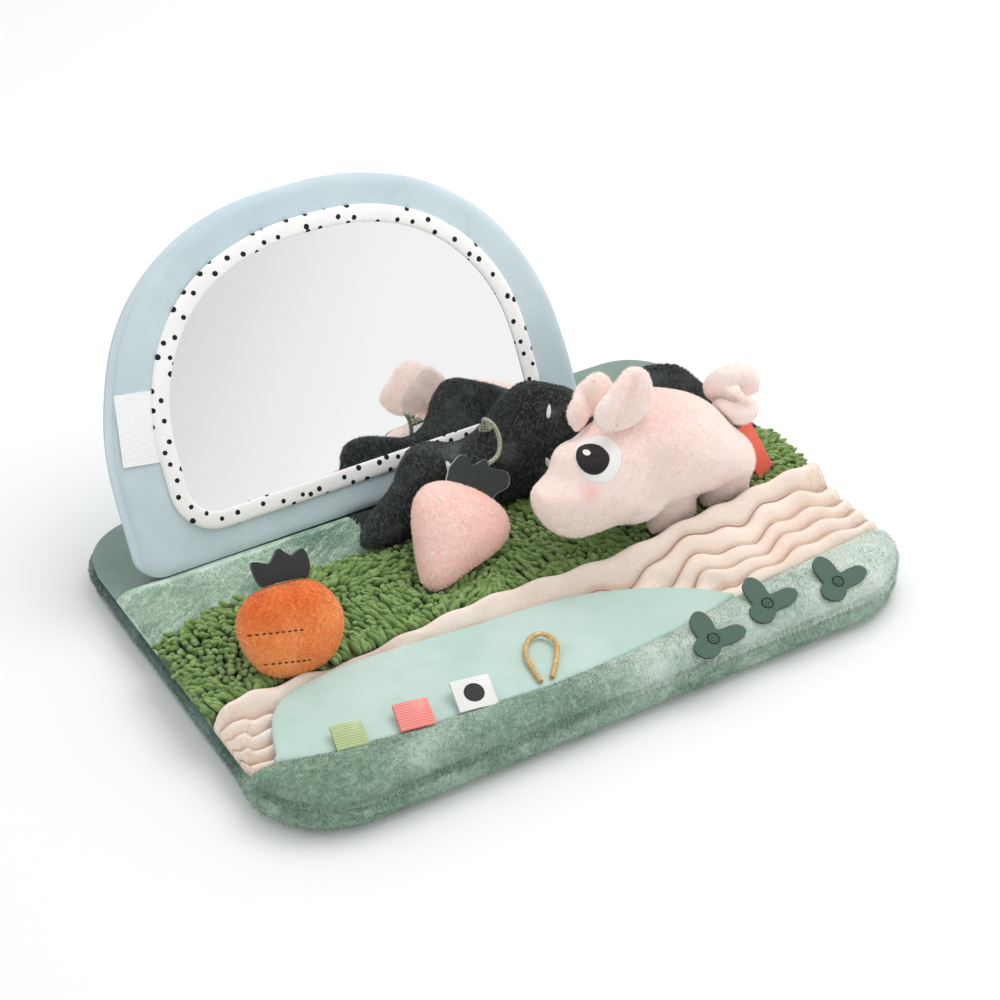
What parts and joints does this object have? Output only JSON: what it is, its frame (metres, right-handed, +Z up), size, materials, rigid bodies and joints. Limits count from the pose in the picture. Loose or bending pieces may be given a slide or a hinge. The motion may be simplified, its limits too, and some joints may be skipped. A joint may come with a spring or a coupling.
{
  "type": "tummy time activity book",
  "caption": "Padded baby play mat with a fold-up mirror page, a ribbed path, loop-pile grass, a pond flap with ribbon tags, and a stuffed carrot, strawberry and pig",
  "frame": {"origin": "centre of the mat's flat underside", "axes": "X to the right along the mat, Y to the rear, Z up"},
  "size_m": [0.3832, 0.301, 0.1854],
  "materials": {
    "twill": "dark green twill",
    "foam": "fibre board and wadding, hidden",
    "sage_plush": "short sage green plush",
    "sand_plush": "ribbed sand plush",
    "grass_pile": "thick loop pile",
    "dark_plush": "charcoal plush",
    "leaf_felt": "stiff coated felt",
    "grip_tape": "hook and loop tape",
    "blue_cotton": "plain cotton",
    "mirror_film": "flexible mirror film",
    "dotted_cotton": "white cotton with black dots",
    "white_ribbon": "woven ribbon",
    "pond_cotton": "brushed mint cotton",
    "green_ribbon": "ribbed ribbon",
    "coral_ribbon": "ribbed ribbon",
    "gold_cord": "braided elastic cord",
    "orange_velvet": "velvet with stitched lines",
    "black_felt": "felt",
    "coral_velvet": "velvet with small white seeds",
    "elastic_cord": "braided elastic cord",
    "pink_plush": "short pink plush",
    "red_ribbon": "satin ribbon, bare"
  },
  "bodies": {
    "mat": {"base_tray": "twill", "base_core": "foam", "side_band": "sage_plush", "rear_cover": "twill", "front_border": "sage_plush", "path_pad": "sand_plush", "grass_left": "grass_pile", "grass_right": "grass_pile", "sage_field": "sage_plush", "dark_field": "dark_plush", "bush": "dark_plush", "cord_knot": "dark_plush", "leaf_1": "leaf_felt", "leaf_2": "leaf_felt", "leaf_3": "leaf_felt", "loop_strip": "grip_tape"},
    "mirror_page": {"page_front_cover": "blue_cotton", "page_foam": "foam", "page_back_cover": "blue_cotton", "mirror_sheet": "mirror_film", "mirror_binding": "dotted_cotton", "side_label": "white_ribbon"},
    "support_flap": {"support_flap": "twill", "hook_strip": "grip_tape"},
    "pond_flap": {"pond_flap": "pond_cotton", "green_tag": "green_ribbon", "coral_tag": "coral_ribbon", "dot_tag": "white_ribbon", "gold_loop": "gold_cord"},
    "carrot": {"carrot_body": "orange_velvet", "carrot_leaves": "black_felt"},
    "strawberry": {"strawberry_body": "coral_velvet", "strawberry_leaves": "black_felt", "strawberry_cord": "elastic_cord"},
    "pig": {"pig_body": "pink_plush", "pig_head": "pink_plush", "pig_near_ear": "pink_plush", "pig_far_ear": "pink_plush", "pig_front_leg": "pink_plush", "pig_hind_leg": "pink_plush", "pig_tail": "pink_plush", "pig_side_tag": "red_ribbon"}
  },
  "joints": [
    {"name": "mirror_fold", "type": "hinge", "parent": "mat", "child": "mirror_page", "pos_m": [-0.0361, 0.0617, 0.0273], "axis": [1, 0, 0], "range_deg": [0, 34]},
    {"name": "flap_fold", "type": "hinge", "parent": "mirror_page", "child": "support_flap", "pos_m": [-0.0361, 0.13172, 0.117], "axis": [-1, 0, 0], "range_deg": [0, 20]},
    {"name": "pond_lift", "type": "hinge", "parent": "mat", "child": "pond_flap", "pos_m": [0, -0.11764, 0.0279], "axis": [1, 0, 0], "range_deg": [0, 48]},
    {"name": "carrot_pull", "type": "slide", "parent": "mat", "child": "carrot", "axis": [0, 0.5736, 0.8192], "range_m": [0, 0.05]},
    {"name": "pig_lift", "type": "slide", "parent": "mat", "child": "pig", "axis": [-0.0289, 0.2059, 0.9781], "range_m": [0, 0.06]},
    {"name": "strawberry_swing", "type": "hinge", "parent": "mat", "child": "strawberry", "pos_m": [0.01666, 0.03613, 0.07444], "axis": [-1, 0, 0], "range_deg": [0, 60]}
  ]
}
